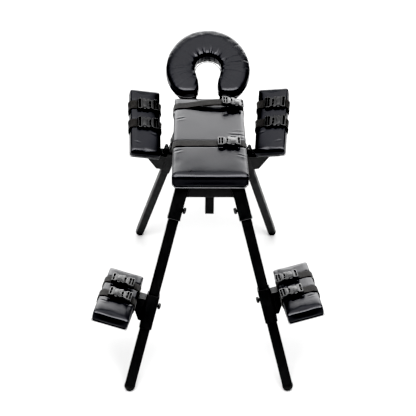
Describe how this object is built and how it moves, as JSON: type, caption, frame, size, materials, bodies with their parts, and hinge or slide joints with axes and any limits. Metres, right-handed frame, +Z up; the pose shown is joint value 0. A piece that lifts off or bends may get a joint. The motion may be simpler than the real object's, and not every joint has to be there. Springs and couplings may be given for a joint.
{
  "type": "padded restraint bench",
  "caption": "Padded bench with horseshoe face cradle, arm rests and knee rests, webbing straps with side-release buckles, on four splayed telescoping steel legs.",
  "frame": {"origin": "centre of the bounding box on the floor", "axes": "+Z up, +Y towards the face cradle (head end), +X to the right as seen from the foot end"},
  "size_m": [0.8, 1.2254, 0.9092],
  "materials": {
    "steel": "semi-matt black powder coat",
    "rubber": "matt black moulded rubber",
    "upholstery": "soft semi-gloss black leatherette over foam",
    "webbing": "woven charcoal polypropylene webbing",
    "buckle": "satin black moulded acetal",
    "plastic": "satin black moulded plastic",
    "platform": "matt black moulded platform",
    "plywood": "bare plywood under the pad"
  },
  "bodies": {
    "frame": {"spine_tube": "steel", "front_crossbar": "steel", "rear_crossbar": "steel", "leg_socket_front_left": "steel", "leg_socket_front_right": "steel", "leg_socket_rear_left": "steel", "leg_socket_rear_right": "steel", "accessory_receiver": "steel", "receiver_plug": "plastic", "torso_board": "plywood", "torso_cushion": "upholstery", "torso_strap_far": "webbing", "torso_strap_near": "webbing", "torso_buckle_far": "buckle", "torso_buckle_near": "buckle"},
    "leg_front_left": {"leg_tube_front_left": "steel", "foot_front_left": "rubber"},
    "leg_knob_front_left_body": {"leg_knob_front_left": "plastic"},
    "leg_front_right": {"leg_tube_front_right": "steel", "foot_front_right": "rubber"},
    "leg_knob_front_right_body": {"leg_knob_front_right": "plastic"},
    "leg_rear_left": {"leg_tube_rear_left": "steel", "foot_rear_left": "rubber"},
    "leg_knob_rear_left_body": {"leg_knob_rear_left": "plastic"},
    "leg_rear_right": {"leg_tube_rear_right": "steel", "foot_rear_right": "rubber"},
    "leg_knob_rear_right_body": {"leg_knob_rear_right": "plastic"},
    "knee_rest_left": {"knee_carrier_left": "steel", "knee_cushion_left": "upholstery", "knee_strap_left_far": "webbing", "knee_strap_left_near": "webbing", "knee_buckle_left_far": "buckle", "knee_buckle_left_near": "buckle"},
    "knee_knob_left_body": {"knee_knob_left": "plastic"},
    "knee_rest_right": {"knee_carrier_right": "steel", "knee_cushion_right": "upholstery", "knee_strap_right_far": "webbing", "knee_strap_right_near": "webbing", "knee_buckle_right_far": "buckle", "knee_buckle_right_near": "buckle"},
    "knee_knob_right_body": {"knee_knob_right": "plastic"},
    "arm_rest_left": {"arm_carrier_left": "steel", "arm_cushion_left": "upholstery", "arm_strap_left_far": "webbing", "arm_strap_left_near": "webbing", "arm_buckle_left_far": "buckle", "arm_buckle_left_near": "buckle"},
    "arm_knob_left_body": {"arm_knob_left": "plastic"},
    "arm_rest_right": {"arm_carrier_right": "steel", "arm_cushion_right": "upholstery", "arm_strap_right_far": "webbing", "arm_strap_right_near": "webbing", "arm_buckle_right_far": "buckle", "arm_buckle_right_near": "buckle"},
    "arm_knob_right_body": {"arm_knob_right": "plastic"},
    "cradle_arm_body": {"cradle_arm": "steel"},
    "cradle_head": {"cradle_board": "platform", "cradle_pillow": "upholstery"},
    "cradle_arm_knob_body": {"cradle_arm_knob": "plastic"},
    "cradle_tilt_knob_body": {"cradle_tilt_knob": "plastic"}
  },
  "joints": [
    {"name": "leg_front_left_extend", "type": "slide", "parent": "frame", "child": "leg_front_left", "axis": [-0.2473, -0.3548, -0.9016], "range_m": [0, 0.06]},
    {"name": "leg_knob_front_left_turn", "type": "hinge", "parent": "frame", "child": "leg_knob_front_left_body", "pos_m": [-0.09288, -0.27113, 0.64267], "axis": [0.9689, -0.0906, -0.2301], "continuous": true},
    {"name": "leg_front_right_extend", "type": "slide", "parent": "frame", "child": "leg_front_right", "axis": [0.2473, -0.3548, -0.9016], "range_m": [0, 0.06]},
    {"name": "leg_knob_front_right_turn", "type": "hinge", "parent": "frame", "child": "leg_knob_front_right_body", "pos_m": [0.10924, -0.27113, 0.64267], "axis": [-0.9689, -0.0906, -0.2301], "continuous": true},
    {"name": "leg_rear_left_extend", "type": "slide", "parent": "frame", "child": "leg_rear_left", "axis": [-0.2447, 0.3204, -0.9151], "range_m": [0, 0.06]},
    {"name": "leg_knob_rear_left_turn", "type": "hinge", "parent": "frame", "child": "leg_knob_rear_left_body", "pos_m": [-0.09264, 0.19588, 0.64148], "axis": [0.9696, 0.0809, -0.231], "continuous": true},
    {"name": "leg_rear_right_extend", "type": "slide", "parent": "frame", "child": "leg_rear_right", "axis": [0.2447, 0.3204, -0.9151], "range_m": [0, 0.06]},
    {"name": "leg_knob_rear_right_turn", "type": "hinge", "parent": "frame", "child": "leg_knob_rear_right_body", "pos_m": [0.109, 0.19588, 0.64148], "axis": [-0.9696, 0.0809, -0.231], "continuous": true},
    {"name": "knee_rest_left_height", "type": "slide", "parent": "leg_front_left", "child": "knee_rest_left", "axis": [0.2473, 0.3548, 0.9016], "range_m": [-0.19, 0.26]},
    {"name": "knee_knob_left_turn", "type": "hinge", "parent": "knee_rest_left", "child": "knee_knob_left_body", "pos_m": [-0.18465, -0.4028, 0.30808], "axis": [0.9689, -0.0906, -0.2301], "continuous": true},
    {"name": "knee_rest_right_height", "type": "slide", "parent": "leg_front_right", "child": "knee_rest_right", "axis": [-0.2473, 0.3548, 0.9016], "range_m": [-0.19, 0.26]},
    {"name": "knee_knob_right_turn", "type": "hinge", "parent": "knee_rest_right", "child": "knee_knob_right_body", "pos_m": [0.19483, -0.39393, 0.33062], "axis": [-0.9689, -0.0906, -0.2301], "continuous": true},
    {"name": "arm_rest_left_height", "type": "slide", "parent": "leg_rear_left", "child": "arm_rest_left", "axis": [0.2447, -0.3204, 0.9151], "range_m": [-0.2, 0.045]},
    {"name": "arm_knob_left_turn", "type": "hinge", "parent": "arm_rest_left", "child": "arm_knob_left_body", "pos_m": [-0.12371, 0.23657, 0.52526], "axis": [0.9696, 0.0809, -0.231], "continuous": true},
    {"name": "arm_rest_right_height", "type": "slide", "parent": "leg_rear_right", "child": "arm_rest_right", "axis": [-0.2447, -0.3204, 0.9151], "range_m": [-0.2, 0.045]},
    {"name": "arm_knob_right_turn", "type": "hinge", "parent": "arm_rest_right", "child": "arm_knob_right_body", "pos_m": [0.14008, 0.23657, 0.52526], "axis": [-0.9696, 0.0809, -0.231], "continuous": true},
    {"name": "cradle_reach", "type": "slide", "parent": "frame", "child": "cradle_arm_body", "axis": [0, 1, 0], "range_m": [0, 0.08]},
    {"name": "cradle_tilt", "type": "hinge", "parent": "cradle_arm_body", "child": "cradle_head", "pos_m": [0.00818, 0.34146, 0.719], "axis": [1, 0, 0], "range_deg": [-20, 25]},
    {"name": "cradle_arm_knob_turn", "type": "hinge", "parent": "frame", "child": "cradle_arm_knob_body", "pos_m": [0.00818, 0.25646, 0.6983], "axis": [0, 0, -1], "continuous": true},
    {"name": "cradle_tilt_knob_turn", "type": "hinge", "parent": "cradle_arm_body", "child": "cradle_tilt_knob_body", "pos_m": [0.00818, 0.34146, 0.719], "axis": [1, 0, 0], "continuous": true}
  ]
}
